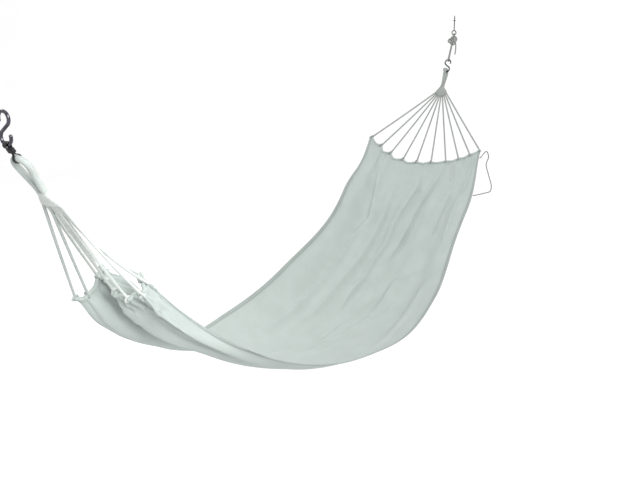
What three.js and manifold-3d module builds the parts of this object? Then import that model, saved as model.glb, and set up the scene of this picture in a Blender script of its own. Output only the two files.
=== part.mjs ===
// Fabric hammock with ten cords at each end, its S-hooks, a webbing strap and the rope it hangs from.
// Millimetres, +Z up. +X runs from the near end to the far end, -Y is the side of the tie cord.
// The origin is the collar of the far anchor screw, where it leaves the beam that carries it.
import * as THREE from "three";
import { mergeVertices } from "three/addons/utils/BufferGeometryUtils.js";
import Module from "manifold-3d";

const wasm = await Module();
wasm.setup();

// Clearance between touching pieces
const GAP = 0.3;

// Bed
const BED_LENGTH = 1988; // along its middle, between the two end hems
const CANVAS = 1.6;
const SIDE_HEM_WIDTH = 14;
const GATHERED_HEM_WIDTH = 7; // at the gathered near end
const SIDE_SEAM = 0.8;
const GATHERED_SEAM = 1.4;
const SIDE_HEM_THICKNESS = 3.6;
const END_HEM_RADIUS = 4.6; // canvas tunnel round its gathering rope
const END_SEAM = 1;
const CORNER_DROOP = 8; // the corners beyond the last cords hang back
const FAR_FOLD_DEPTH = 7;
const FAR_FOLDS = 5;
const FAR_FOLD_REACH = 0.75; // share of the bed that they run into
const FLAT_EDGE = 0.08; // share of the width without folds, beside each selvedge

// Cross-sections of the bed, from the near end to the far end, as the loaded cords hold it:
// half of the chord between the selvedges, and how deep the middle hangs under that chord.
const HALF_CHORDS = [48, 191, 287, 298, 260, 276];
const DIPS = [49, 14, 98, 116, 57, 10];
const NEAR_SHIFT = 73; // the gathered near end hangs to one side
const FAR_SHIFT = 14;
const NEAR_ROLL = 7; // degrees
const FAR_ROLL = -5.6; // degrees
const TURN_REACH = 0.5; // share of the bed that each end's shift and roll reach into

// The near end is bunched into three folds that lie on each other. Its edge, from the -Y corner
// to the +Y one, as places across and inward of the hanging line.
const NEAR_ACROSS = [34, 24, 2, 20, 56, 84, 112, 124, 118, 122, 140];
const NEAR_INWARD = [60, 50, 28, 8, 4, 22, 37, 46, 10, -26, -40];
const NEAR_GATHER = 0.32; // share of the bed that the bunched shape reaches into
const NEAR_FOLDS = [0, -4, -14, 16, -8, -2, 12, 14, 6, 4, 14]; // how far the folds stand in or out
const NEAR_FOLD_REACH = 0.36;
const FOLDS_START = [-0.04, 0.06]; // shares of the bed between which the folds take their full depth
const NEAR_SAGS = [3.5, 3.5, 3.5, 3.5, 3.5, 3.5, 3.5, 3.5, 3.5]; // the hem hangs back between the cords

// The far end is spread. Its edge, as the near one's.
const FAR_ACROSS = [-227, -198, -160, -117, -64, -5, 58, 123, 181, 225, 259];
const FAR_INWARD = [-4, -3, -4, -6, -3, -6, -20, -30, -29, -26, -20];
const FAR_SPREAD = 0.15; // share of the bed that the spread shape reaches into
const FAR_SAGS = [3.5, 3, 3, 3, 4, 6, 8, 9, 8];

// Hanging line between the tops of the two eyes
const EYE_SPAN = 2184;
const EYE_RISE = 24;

// Cords and eyes
const CORDS = 10;
const NEAR_CORD_LENGTH = 350;
const FAR_CORD_LENGTH = 362;
const CORD_DIAMETER = 4.6;
const CORD_PITCH = 5;
const CORD_SPREAD = 0.96; // the outermost cords hold the corners
const EYE_LENGTH = 76; // from the middle of the strand at the top to the throat
const EYE_STRAND = 12;
const EYE_BEND = 16;
const EYE_STRAIGHT = 12; // legs run side by side above the clew
const CLEW_LENGTH = 30; // woven wedge between the legs of the eye and the flat row of cords
const CLEW_THICKNESS = 9; // at the row of cords
const CLEW_HALF = (CORDS * CORD_PITCH) / 2;
const NEAR_CLEW_POINT = 2; // the middle of the row lies this much further from the throat
const FAR_CLEW_POINT = 12;

// S-hooks
const HOOK_ROD = 6;
const HOOK_HEIGHT = 54; // between the middles of the rod at the two ends
const HOOK_BEND = 12;
const HOOK_TIP = 14; // degrees that each hook goes on past its widest point
const NEAR_HOOK_SLOPE = 90; // degrees from level
const FAR_HOOK_SLOPE = 66;

// Webbing strap between the near hook and the near eye
const STRAP_THICKNESS = 2.4;
const STRAP_WIDTH = 12;
const STRAP_PINCHED = 8; // inside the bend of the hook
const STRAP_FOOT = 6; // round the strand of the eye
const STRAP_SLOPE = 122;
const STRAP_REACH = 29; // from the strand of the eye to the rod of the hook

// Hanging rope and its anchor
const ROPE = 5;
const ROPE_SLOPE = 61;
const ROPE_REACH = 117; // from the rod of the far hook to the wire of the anchor ring
const KNOT_FROM_RING = 22;
const KNOT_RADIUS = 8.5;
const KNOT_TURN = 8; // thickness of each turn, drawn tight
const KNOT_ASIDE = 13.9; // the tail leaves the knot on its -Y side
const TAIL_SWAY = 3;
const RING_WIRE = 4;
const RING_BEND = 9;
const SHANK_LENGTH = 42;
const THREAD_LENGTH = 22;
const COLLAR_RADIUS = 7;
const COLLAR_THICKNESS = 2;
const TAIL_LENGTH = 52;

// Tie cord: a loop from the far -Y corner back to the side hem, with its turns placed by hand
const TIE_CORD = 3;
const TIE_FROM = 0.985; // share of the bed's length
const TIE_TO = 0.89;
const TIE_SEAT = 2.2; // each end sits this far from the middle of the hem's edge
const TIE_TURNS = [
  [1994, -249, -281],
  [1984, -262, -299],
  [1956, -262, -326],
  [1925, -282, -360],
  [1899, -303, -397],
  [1871, -307, -414],
  [1847, -291, -427],
];

const SIDES = 8;
const rad = THREE.MathUtils.degToRad;
const V = (x, y, z) => new THREE.Vector3(x, y, z);
const ACROSS = V(0, 1, 0);

const canvasCloth = new THREE.MeshStandardMaterial({ color: 0xd3dbd7, roughness: 0.92, metalness: 0 });
const cotton = new THREE.MeshStandardMaterial({ color: 0xdfe3df, roughness: 0.95, metalness: 0 });
const chrome = new THREE.MeshStandardMaterial({ color: 0xb9bdc2, roughness: 0.15, metalness: 1 });
const darkSteel = new THREE.MeshStandardMaterial({ color: 0x45474a, roughness: 0.4, metalness: 1 });
const webbing = new THREE.MeshStandardMaterial({ color: 0x17171a, roughness: 0.85, metalness: 0 });
const tieCordCloth = new THREE.MeshStandardMaterial({ color: 0x55595a, roughness: 0.9, metalness: 0 });

const hammock = new THREE.Group();

function add(name, geometry, material) {
  const mesh = new THREE.Mesh(geometry, material);
  mesh.name = name;
  hammock.add(mesh);
  return mesh;
}

// Solids

function solidOf(geometry) {
  const bare = geometry.clone();
  bare.deleteAttribute("normal");
  bare.deleteAttribute("uv");
  const merged = mergeVertices(bare, 1e-4);
  return new wasm.Manifold(
    new wasm.Mesh({
      numProp: 3,
      vertProperties: merged.attributes.position.array,
      triVerts: new Uint32Array(merged.index.array),
    }),
  );
}

function geometryOf(solid) {
  const mesh = solid.getMesh();
  const geometry = new THREE.BufferGeometry();
  geometry.setAttribute("position", new THREE.BufferAttribute(mesh.vertProperties, 3));
  geometry.setIndex(new THREE.BufferAttribute(mesh.triVerts, 1));
  return geometry;
}

function joined(...geometries) {
  return geometryOf(geometries.map(solidOf).reduce((sum, piece) => sum.add(piece)));
}

function circle(radius, sides = SIDES) {
  const shape = new THREE.Shape();
  for (let i = 0; i < sides; i++) {
    const angle = (2 * Math.PI * (i + 0.5)) / sides;
    const x = radius * Math.cos(angle);
    const y = radius * Math.sin(angle);
    if (i) shape.lineTo(x, y);
    else shape.moveTo(x, y);
  }
  shape.closePath();
  return shape;
}

function tube(points, diameter, steps, sides = SIDES) {
  const path =
    points.length === 2 ? new THREE.LineCurve3(points[0], points[1]) : new THREE.CatmullRomCurve3(points);
  return new THREE.ExtrudeGeometry(circle(diameter / 2, sides), { steps, extrudePath: path });
}

function ball(centre, diameter) {
  const sphere = new THREE.SphereGeometry(diameter / 2, 8, 6);
  return sphere.translate(centre.x, centre.y, centre.z);
}

// Smooth value through evenly spaced stations, at a share t of the way
function alongStations(values, t) {
  const last = values.length - 1;
  const at = THREE.MathUtils.clamp(t, 0, 1) * last;
  const i = Math.min(Math.floor(at), last - 1);
  const f = at - i;
  const slope = (k) => (values[Math.min(k + 1, last)] - values[Math.max(k - 1, 0)]) / 2;
  const a = values[i];
  const b = values[i + 1];
  const h = f * f * (3 - 2 * f);
  return a + (b - a) * h + slope(i) * f * (1 - f) * (1 - f) - slope(i + 1) * f * f * (1 - f);
}

function fadeOut(t, end) {
  const s = THREE.MathUtils.clamp(1 - t / end, 0, 1);
  return s * s * (3 - 2 * s);
}

// Hanging line: a catenary between the tops of the two eyes, by its length from the near one.
const LINE_LENGTH = BED_LENGTH + NEAR_CORD_LENGTH + FAR_CORD_LENGTH + 2 * EYE_LENGTH;

function catenaryScale() {
  const target = Math.sqrt(LINE_LENGTH ** 2 - EYE_RISE ** 2) / EYE_SPAN;
  let low = 0.01;
  let high = 10;
  for (let i = 0; i < 60; i++) {
    const middle = (low + high) / 2;
    if (Math.sinh(middle) / middle < target) low = middle;
    else high = middle;
  }
  return EYE_SPAN / (2 * low);
}

const A = catenaryScale();
const NEAR_FROM_LOWEST = A * Math.atanh(EYE_RISE / LINE_LENGTH) - EYE_SPAN / 2;
const LOWEST = -A * Math.sinh(NEAR_FROM_LOWEST / A);

// A place on the hanging line, with its direction to the far end and the normal on the sleeper's side
function lineAt(s) {
  const rise = (s - LOWEST) / A;
  const x = A * (Math.asinh(rise) + Math.asinh(LOWEST / A));
  const z = A * (Math.hypot(1, rise) - Math.hypot(1, LOWEST / A));
  const size = Math.hypot(1, rise);
  return {
    at: V(x, 0, z),
    along: V(1 / size, 0, rise / size),
    inward: V(-rise / size, 0, 1 / size),
  };
}

const NEAR_THROAT = EYE_LENGTH;
const FAR_THROAT = LINE_LENGTH - EYE_LENGTH;

// Bed surface, by u from the near end to the far end and v from the -Y selvedge to the +Y one

function troughAt(u, v) {
  const half = alongStations(HALF_CHORDS, u);
  const dip = alongStations(DIPS, u);
  const near = fadeOut(u, TURN_REACH);
  const far = fadeOut(1 - u, TURN_REACH);
  const roll = rad(NEAR_ROLL * near + FAR_ROLL * far);
  const fold = FAR_FOLD_DEPTH * Math.cos(Math.PI * FAR_FOLDS * v) * fadeOut(1 - u, FAR_FOLD_REACH);
  const still = THREE.MathUtils.smoothstep(1 - Math.abs(v), 0, FLAT_EDGE);
  const across = half * v;
  const inward = dip * v * v + fold * still;
  return {
    across: NEAR_SHIFT * near + FAR_SHIFT * far + across * Math.cos(roll),
    inward: inward * Math.cos(roll) - across * Math.sin(roll),
  };
}

function sectionAt(u, v) {
  const trough = troughAt(u, v);
  const share = (v + 1) / 2;
  const gather = fadeOut(u, NEAR_GATHER);
  const stand = fadeOut(u, NEAR_FOLD_REACH) * THREE.MathUtils.smoothstep(u, ...FOLDS_START);
  const fold = alongStations(NEAR_FOLDS, share) * stand;
  const spread = fadeOut(1 - u, FAR_SPREAD);
  const held = (middle, nearEdge, farEdge) =>
    THREE.MathUtils.lerp(
      THREE.MathUtils.lerp(middle, alongStations(nearEdge, share), gather),
      alongStations(farEdge, share),
      spread,
    );
  return {
    across: held(trough.across, NEAR_ACROSS, FAR_ACROSS),
    inward: held(trough.inward, NEAR_INWARD, FAR_INWARD) + fold,
  };
}

// How far along the hanging line the end of the bed lies at v: the cords of one end are equally long.
function endOfBed(u, v) {
  const { across, inward } = sectionAt(u, v);
  const length = u < 0.5 ? NEAR_CORD_LENGTH : FAR_CORD_LENGTH;
  const sags = u < 0.5 ? NEAR_SAGS : FAR_SAGS;
  const droop = CORNER_DROOP * THREE.MathUtils.smoothstep(Math.abs(v), CORD_SPREAD, 1);
  const cord = ((CORDS - 1) * (v / CORD_SPREAD + 1)) / 2;
  const depth = sags[THREE.MathUtils.clamp(Math.floor(cord), 0, CORDS - 2)];
  const sag = Math.abs(v) < CORD_SPREAD ? (depth / 2) * (1 - Math.cos(2 * Math.PI * cord)) : 0;
  const reach = Math.sqrt(length ** 2 - across ** 2 - inward ** 2) + droop + sag;
  return u < 0.5 ? NEAR_THROAT + reach : FAR_THROAT - reach;
}

function bedPoint(u, v) {
  const s = THREE.MathUtils.lerp(endOfBed(0, v), endOfBed(1, v), u);
  const { across, inward } = sectionAt(u, v);
  const place = lineAt(s);
  return place.at.addScaledVector(ACROSS, across).addScaledVector(place.inward, inward);
}

const STEP = 1e-4;
const alongBed = (u, v) => bedPoint(u + STEP, v).sub(bedPoint(u - STEP, v)).divideScalar(2 * STEP);
const acrossBed = (u, v) => bedPoint(u, v + STEP).sub(bedPoint(u, v - STEP)).divideScalar(2 * STEP);
const bedNormal = (u, v) => alongBed(u, v).cross(acrossBed(u, v)).normalize();

// The share of u that an end hem takes, and the share of v that a side hem takes
function endShare(u, v, thickness) {
  const along = alongBed(u, v);
  const slant = along.clone().cross(acrossBed(u, v)).length() / acrossBed(u, v).length();
  return (END_HEM_RADIUS + END_SEAM + thickness / 2) / slant;
}
const HEM_SEAM = 0.9; // the width of a side hem is measured at this v
const hemWidth = (u) =>
  THREE.MathUtils.lerp(SIDE_HEM_WIDTH, GATHERED_HEM_WIDTH, fadeOut(u, NEAR_GATHER));
const hemShare = (u, side) => hemWidth(u) / acrossBed(u, side * HEM_SEAM).length();
const seamGap = (u) => THREE.MathUtils.lerp(SIDE_SEAM, GATHERED_SEAM, fadeOut(u, NEAR_GATHER));
const gapShare = (u, side) => (hemWidth(u) + seamGap(u)) / acrossBed(u, side * HEM_SEAM).length();

// A closed sheet of even thickness over a grid of (u, v) places
function sheet(place, rows, columns, thickness) {
  const points = [];
  for (const side of [1, -1]) {
    for (let i = 0; i <= rows; i++) {
      for (let j = 0; j <= columns; j++) {
        const [u, v] = place(i / rows, j / columns);
        points.push(bedPoint(u, v).addScaledVector(bedNormal(u, v), (side * thickness) / 2));
      }
    }
  }
  const count = (rows + 1) * (columns + 1);
  const index = [];
  const at = (layer, i, j) => layer * count + i * (columns + 1) + j;
  const quad = (a, b, c, d) => index.push(a, b, c, a, c, d);
  for (let i = 0; i < rows; i++) {
    for (let j = 0; j < columns; j++) {
      quad(at(0, i, j), at(0, i + 1, j), at(0, i + 1, j + 1), at(0, i, j + 1));
      quad(at(1, i, j), at(1, i, j + 1), at(1, i + 1, j + 1), at(1, i + 1, j));
    }
    quad(at(0, i, 0), at(1, i, 0), at(1, i + 1, 0), at(0, i + 1, 0));
    quad(at(0, i, columns), at(0, i + 1, columns), at(1, i + 1, columns), at(1, i, columns));
  }
  for (let j = 0; j < columns; j++) {
    quad(at(0, 0, j), at(0, 0, j + 1), at(1, 0, j + 1), at(1, 0, j));
    quad(at(0, rows, j), at(1, rows, j), at(1, rows, j + 1), at(0, rows, j + 1));
  }
  const geometry = new THREE.BufferGeometry().setFromPoints(points);
  geometry.setIndex(index);
  return geometry;
}

const BED_ROWS = 21;
const BED_COLUMNS = 27;

const betweenEnds = (i, v, thickness) =>
  THREE.MathUtils.lerp(endShare(0, v, thickness), 1 - endShare(1, v, thickness), i);

function bedPlace(i, j) {
  const v = THREE.MathUtils.lerp(-1 + gapShare(i, -1), 1 - gapShare(i, 1), j);
  return [betweenEnds(i, v, CANVAS), v];
}

function sideHemPlace(side) {
  return (i, j) => {
    const width = hemShare(i, side);
    const v = side < 0 ? -1 + width * j : 1 - width * (1 - j);
    return [betweenEnds(i, v, SIDE_HEM_THICKNESS), v];
  };
}

add("bed_canvas", sheet(bedPlace, BED_ROWS, BED_COLUMNS, CANVAS), canvasCloth);
add("right_side_hem", sheet(sideHemPlace(-1), BED_ROWS, 1, SIDE_HEM_THICKNESS), canvasCloth);
add("left_side_hem", sheet(sideHemPlace(1), BED_ROWS, 1, SIDE_HEM_THICKNESS), canvasCloth);

// End hems: canvas tunnels along the edges of the bed
const END_HEM_STEPS = 54;
function endHem(u) {
  const points = [];
  for (let i = 0; i <= END_HEM_STEPS; i++) points.push(bedPoint(u, (2 * i) / END_HEM_STEPS - 1));
  return tube(points, 2 * END_HEM_RADIUS, END_HEM_STEPS);
}
add("near_end_hem", endHem(0), canvasCloth);
add("far_end_hem", endHem(1), canvasCloth);

// Cords: they leave the clew in a flat row and run straight to the end hem.

// A frame at a throat: out points to the hook, wide lies in the plane of the eye's opening.
function throatFrame(s, out, wide, point) {
  const place = lineAt(s);
  return {
    at: place.at,
    out: place.along.clone().multiplyScalar(out),
    wide: wide === "across" ? ACROSS : place.inward,
    inward: place.inward,
    point,
  };
}

const nearThroat = throatFrame(NEAR_THROAT, -1, "across", NEAR_CLEW_POINT);
const farThroat = throatFrame(FAR_THROAT, 1, "inward", FAR_CLEW_POINT);

// The row of cords curves: a place on it, and its outward direction
function rowPlace(frame, across) {
  const share = across / CLEW_HALF;
  const down = CLEW_LENGTH + frame.point * (1 - share ** 2);
  return frame.at.clone().addScaledVector(frame.out, -down).addScaledVector(ACROSS, across);
}
function rowNormal(frame, across) {
  const slope = (2 * frame.point * across) / CLEW_HALF ** 2;
  return frame.out.clone().negate().addScaledVector(ACROSS, slope).normalize();
}

function cordEnds(u) {
  const ends = [];
  for (let i = 0; i < CORDS; i++) {
    const v = CORD_SPREAD * ((2 * i) / (CORDS - 1) - 1);
    ends.push({ v, across: sectionAt(u, v).across, hem: bedPoint(u, v) });
  }
  return ends;
}

// The cords keep their order across, so that none of them cross.
function cordStarts(frame, ends) {
  const order = ends.map((end, i) => i).sort((a, b) => ends[a].across - ends[b].across);
  const starts = [];
  order.forEach((end, place) => {
    const across = (place - (CORDS - 1) / 2) * CORD_PITCH;
    starts[end] = { at: rowPlace(frame, across), normal: rowNormal(frame, across) };
  });
  return starts;
}

function cords(name, frame, u) {
  const ends = cordEnds(u);
  const starts = cordStarts(frame, ends);
  const lines = ends.map((end, i) => {
    const way = starts[i].at.clone().sub(end.hem).normalize();
    const seatOn = (cosine, depth) =>
      (depth + GAP + (CORD_DIAMETER / 2) * Math.sqrt(1 - cosine * cosine)) / cosine;
    const rowCosine = -way.dot(starts[i].normal);
    const hemSine = way.dot(acrossBed(u, end.v).normalize());
    const hemCosine = Math.sqrt(1 - hemSine * hemSine);
    return [
      starts[i].at.clone().addScaledVector(way, -seatOn(rowCosine, 0)),
      end.hem.clone().addScaledVector(way, seatOn(hemCosine, END_HEM_RADIUS)),
    ];
  });
  lines.forEach((line, i) => add(name + "_cord_" + (i + 1), tube(line, CORD_DIAMETER, 1), cotton));
}

cords("near", nearThroat, 0);
cords("far", farThroat, 1);

// Eyes: one served strand each, bent to a teardrop whose two legs meet at the throat
const EYE_LEG = (EYE_STRAND + GAP) / 2;

function eye(frame) {
  const leg = EYE_LEG;
  const centre = EYE_LENGTH - EYE_BEND;
  const from = EYE_STRAIGHT;
  const side = [];
  const slope = Math.atan2(EYE_BEND - leg, centre - from);
  for (const f of [0, 0.5, 1]) side.push([leg, from * f]);
  for (const f of [0.35, 0.7]) {
    side.push([
      leg + (EYE_BEND * Math.cos(slope) - leg) * f,
      from + (centre + EYE_BEND * Math.sin(slope) * -1 - from) * f,
    ]);
  }
  for (let angle = 0; angle < 90; angle += 18) {
    side.push([EYE_BEND * Math.cos(rad(angle)), centre + EYE_BEND * Math.sin(rad(angle))]);
  }
  const outline = [...side, [0, EYE_LENGTH], ...side.slice().reverse().map(([w, o]) => [-w, o])];
  const points = outline.map(([w, o]) =>
    frame.at.clone().addScaledVector(frame.wide, w).addScaledVector(frame.out, o),
  );
  return tube(points, EYE_STRAND, 40, 10);
}

add("near_eye", eye(nearThroat), cotton);
add("far_eye", eye(farThroat), cotton);

// Clews: woven wedges that spread from the two legs of each eye to the flat row of cords
const CLEW_SECTIONS = 5;
const CLEW_SIDES = 20;

function clew(frame) {
  const legs = { across: EYE_STRAND / 2, inward: EYE_STRAND / 2 };
  legs[frame.wide === ACROSS ? "across" : "inward"] += EYE_LEG;
  const row = { across: CLEW_HALF, inward: CLEW_THICKNESS / 2 };
  const points = [];
  const index = [];
  const end = (at) => frame.at.clone().addScaledVector(frame.out, at);
  for (let i = 0; i <= CLEW_SECTIONS; i++) {
    const f = i / CLEW_SECTIONS;
    const blend = THREE.MathUtils.smoothstep(f, 0, 1);
    const across = THREE.MathUtils.lerp(legs.across, row.across, blend);
    const inward = THREE.MathUtils.lerp(legs.inward, row.inward, blend);
    for (let k = 0; k < CLEW_SIDES; k++) {
      const angle = (2 * Math.PI * (k + 0.5)) / CLEW_SIDES;
      const aside = Math.cos(angle);
      const height = Math.sign(Math.sin(angle)) * (1 - aside ** 4) ** 0.25;
      const down = GAP + (CLEW_LENGTH - GAP) * f + frame.point * blend * (1 - aside ** 2);
      points.push(
        end(-down)
          .addScaledVector(ACROSS, across * aside)
          .addScaledVector(frame.inward, inward * height),
      );
    }
  }
  const at = (i, k) => i * CLEW_SIDES + (k % CLEW_SIDES);
  for (let k = 0; k < CLEW_SIDES; k++) {
    for (let i = 0; i < CLEW_SECTIONS; i++) {
      index.push(at(i, k), at(i + 1, k), at(i + 1, k + 1), at(i, k), at(i + 1, k + 1), at(i, k + 1));
    }
  }
  const opposite = (k) => CLEW_SIDES - 1 - k;
  for (let k = 0; k < CLEW_SIDES / 2 - 1; k++) {
    for (const [i, a, b] of [[0, k, k + 1], [CLEW_SECTIONS, k + 1, k]]) {
      index.push(at(i, a), at(i, b), at(i, opposite(b)), at(i, a), at(i, opposite(b)), at(i, opposite(a)));
    }
  }
  const turned = ACROSS.clone().cross(frame.inward).dot(frame.out) < 0;
  if (turned) index.reverse();
  const geometry = new THREE.BufferGeometry().setFromPoints(points);
  geometry.setIndex(index);
  return geometry;
}

add("near_clew", clew(nearThroat), cotton);
add("far_clew", clew(farThroat), cotton);

const nearEyeTop = nearThroat.at.clone().addScaledVector(nearThroat.out, EYE_LENGTH);
const farEyeTop = farThroat.at.clone().addScaledVector(farThroat.out, EYE_LENGTH);

// S-hooks: two bends joined by a straight stem, ends rounded
function sHook(foot, up, side) {
  const middle = HOOK_HEIGHT / 2 - HOOK_BEND;
  const turn = THREE.MathUtils.radToDeg(Math.acos(HOOK_BEND / middle));
  const half = [];
  for (let angle = -HOOK_TIP; angle < 270 - turn; angle += 18) {
    half.push([HOOK_BEND * Math.cos(rad(angle)), middle + HOOK_BEND * Math.sin(rad(angle))]);
  }
  const end = rad(270 - turn);
  half.push([HOOK_BEND * Math.cos(end), middle + HOOK_BEND * Math.sin(end)]);
  const outline = [...half, [0, 0], ...half.slice().reverse().map(([p, q]) => [-p, -q])];
  const points = outline.map(([p, q]) =>
    foot.clone().addScaledVector(side, p).addScaledVector(up, q + HOOK_HEIGHT / 2),
  );
  return joined(
    tube(points, HOOK_ROD, 40),
    ball(points[0], HOOK_ROD),
    ball(points[points.length - 1], HOOK_ROD),
  );
}

const slopeWay = (degrees) => V(Math.cos(rad(degrees)), 0, Math.sin(rad(degrees)));

// Far hook: its lower bend carries the strand of the eye.
const farHookUp = slopeWay(FAR_HOOK_SLOPE);
const farHookFoot = farEyeTop.clone().addScaledVector(farHookUp, -(EYE_STRAND + HOOK_ROD) / 2 - 2 * GAP);
add("far_s_hook", sHook(farHookFoot, farHookUp, V(0, -1, 0)), chrome);

// Near hook: its lower bend carries the webbing strap.
const strapWay = slopeWay(STRAP_SLOPE);
const nearHookFoot = nearEyeTop.clone().addScaledVector(strapWay, STRAP_REACH);
const nearHookUp = slopeWay(NEAR_HOOK_SLOPE);
add("near_s_hook", sHook(nearHookFoot, nearHookUp, V(0, 1, 0)), chrome);

// Webbing strap: a loop round the strand of the eye and the rod of the hook, pinched at both
function bendClearance(bend, rod, width) {
  return bend - Math.sqrt((bend - rod / 2) ** 2 - (width / 2) ** 2) + GAP;
}

function strapLoop() {
  const atHook = bendClearance(HOOK_BEND, HOOK_ROD, STRAP_PINCHED) + STRAP_THICKNESS / 2;
  const atEye = bendClearance(EYE_BEND, EYE_STRAND, STRAP_FOOT) + STRAP_THICKNESS / 2;
  const normal = V(-strapWay.z, 0, strapWay.x);
  const lean = Math.asin((atEye - atHook) / STRAP_REACH);
  const ring = [];
  const turns = 8;
  for (let i = 0; i <= turns; i++) {
    const angle = -Math.PI / 2 + lean + (i / turns) * (Math.PI - 2 * lean);
    ring.push({
      q: STRAP_REACH + atHook * Math.cos(angle),
      p: atHook * Math.sin(angle),
      width: STRAP_PINCHED,
    });
  }
  const sideSteps = 4;
  const from = ring[ring.length - 1];
  const eyeAngle = Math.PI / 2 - lean;
  const to = { q: atEye * Math.cos(eyeAngle), p: atEye * Math.sin(eyeAngle) };
  const between = (a, b, f, width) => ({
    q: THREE.MathUtils.lerp(a.q, b.q, f),
    p: THREE.MathUtils.lerp(a.p, b.p, f),
    width,
  });
  const sideWidths = [STRAP_WIDTH, STRAP_WIDTH, STRAP_PINCHED]; // from the hook to the eye
  sideWidths.forEach((width, i) => ring.push(between(from, to, (i + 1) / sideSteps, width)));
  for (let i = 0; i <= turns; i++) {
    const angle = eyeAngle + (i / turns) * (2 * Math.PI - 2 * eyeAngle);
    ring.push({ q: atEye * Math.cos(angle), p: atEye * Math.sin(angle), width: STRAP_FOOT });
  }
  const back = ring[ring.length - 1];
  sideWidths.reverse().forEach((width, i) => ring.push(between(back, ring[0], (i + 1) / sideSteps, width)));
  const points = [];
  const index = [];
  ring.forEach((spot, i) => {
    const before = ring[(i + ring.length - 1) % ring.length];
    const after = ring[(i + 1) % ring.length];
    const outward = V(after.q - before.q, 0, after.p - before.p).normalize();
    for (const [w, t] of [[1, 1], [-1, 1], [-1, -1], [1, -1]]) {
      const q = spot.q + (outward.z * t * STRAP_THICKNESS) / 2;
      const p = spot.p - (outward.x * t * STRAP_THICKNESS) / 2;
      points.push(
        nearEyeTop
          .clone()
          .addScaledVector(strapWay, q)
          .addScaledVector(normal, p)
          .addScaledVector(ACROSS, (w * spot.width) / 2),
      );
    }
    const next = (i + 1) % ring.length;
    for (let k = 0; k < 4; k++) {
      const m = (k + 1) % 4;
      index.push(4 * i + k, 4 * next + k, 4 * next + m, 4 * i + k, 4 * next + m, 4 * i + m);
    }
  });
  const geometry = new THREE.BufferGeometry().setFromPoints(points);
  geometry.setIndex(index);
  return geometry;
}
add("near_strap_loop", strapLoop(), webbing);

// Tie cord: both of its ends sit at the edge of the side hem.
function hemSeat(u, away) {
  const outward = acrossBed(u, -1).normalize().negate();
  return bedPoint(u, -1).addScaledVector(outward, away);
}
const tieCord = [
  hemSeat(TIE_FROM, TIE_SEAT),
  hemSeat(TIE_FROM, 2 * TIE_CORD),
  ...TIE_TURNS.map(([x, y, z]) => V(x, y, z)),
  hemSeat(TIE_TO, 2 * TIE_CORD),
  hemSeat(TIE_TO, TIE_SEAT),
];
add("tie_cord", tube(tieCord, TIE_CORD, 42), tieCordCloth);

// Hanging rope: a doubled rope from the far hook to a knot, and a small bight through the anchor ring
const ropeWay = slopeWay(ROPE_SLOPE);
const ropeNormal = V(-ropeWay.z, 0, ropeWay.x);
const farHookTop = farHookFoot.clone().addScaledVector(farHookUp, HOOK_HEIGHT);
const ringWire = farHookTop.clone().addScaledVector(ropeWay, ROPE_REACH);

function ropePoint(along, aside, across = 0) {
  return farHookTop
    .clone()
    .addScaledVector(ropeWay, along)
    .addScaledVector(ropeNormal, aside)
    .addScaledVector(ACROSS, across);
}

function bight(middle, radius, towards, legEnd, legApart) {
  const points = [];
  points.push(ropePoint(legEnd, legApart));
  for (let angle = 0; angle <= 180; angle += 22.5) {
    points.push(
      ropePoint(middle + towards * radius * Math.sin(rad(angle)), radius * Math.cos(rad(angle))),
    );
  }
  points.push(ropePoint(legEnd, -legApart));
  return points;
}

const knotAt = ROPE_REACH - KNOT_FROM_RING;
const lowerBight = bight(0, (HOOK_ROD + ROPE) / 2 + 2 * GAP, -1, knotAt, ROPE / 2);
const upperBight = bight(ROPE_REACH, (RING_WIRE + ROPE) / 2 + 2 * GAP, 1, knotAt, ROPE / 2);

function knot() {
  const geometry = new THREE.TorusKnotGeometry(KNOT_RADIUS, KNOT_TURN / 2, 60, 7, 2, 3);
  const basis = new THREE.Matrix4().makeBasis(ACROSS, ropeWay, ACROSS.clone().cross(ropeWay));
  return geometry.applyMatrix4(basis.setPosition(ropePoint(knotAt, 0)));
}
add("hang_rope", joined(tube(lowerBight, ROPE, 30), tube(upperBight, ROPE, 24), knot()), cotton);

// Its tail hangs free beside the rope.
const tailTop = ropePoint(knotAt - KNOT_ASIDE + ROPE / 2, 0, -KNOT_ASIDE);
const tail = [0, 0.3, 0.65, 1].map((f, i) =>
  tailTop.clone().add(V(0, -TAIL_SWAY * Math.sin(i), -TAIL_LENGTH * f)),
);
add("rope_tail", tube(tail, ROPE, 5), cotton);

// Anchor screw: a ring on a shank that goes up into the beam
const nearHookBend = nearHookFoot.clone().addScaledVector(nearHookUp, HOOK_HEIGHT - HOOK_BEND);
const swingWay = ringWire.clone().sub(nearHookBend);
const swingUp = V(-swingWay.z, 0, swingWay.x).normalize();
const ringCentre = ringWire.clone().addScaledVector(swingUp, RING_BEND);

function anchorScrew() {
  const basis = new THREE.Matrix4().makeBasis(ACROSS, swingUp, ACROSS.clone().cross(swingUp));
  const ring = new THREE.TorusGeometry(RING_BEND, RING_WIRE / 2, 10, 32);
  ring.applyMatrix4(basis.clone().setPosition(ringCentre));
  const r = RING_WIRE / 2;
  const foot = RING_BEND;
  const collar = RING_BEND + SHANK_LENGTH;
  const tip = collar + THREAD_LENGTH;
  const profile = [
    [0, foot],
    [r, foot],
    [r, collar - COLLAR_THICKNESS],
    [COLLAR_RADIUS, collar - COLLAR_THICKNESS],
    [COLLAR_RADIUS, collar],
    [r, collar],
    [r, tip - 3 * r],
    [0, tip],
  ];
  const outline = profile.map(([x, y]) => new THREE.Vector2(x, y));
  const shank = new THREE.LatheGeometry(outline, 16);
  shank.applyMatrix4(basis.clone().setPosition(ringCentre));
  return joined(ring, shank);
}
add("anchor_screw_eye", anchorScrew(), darkSteel);
const anchorMount = ringCentre.clone().addScaledVector(swingUp, RING_BEND + SHANK_LENGTH);

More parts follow.
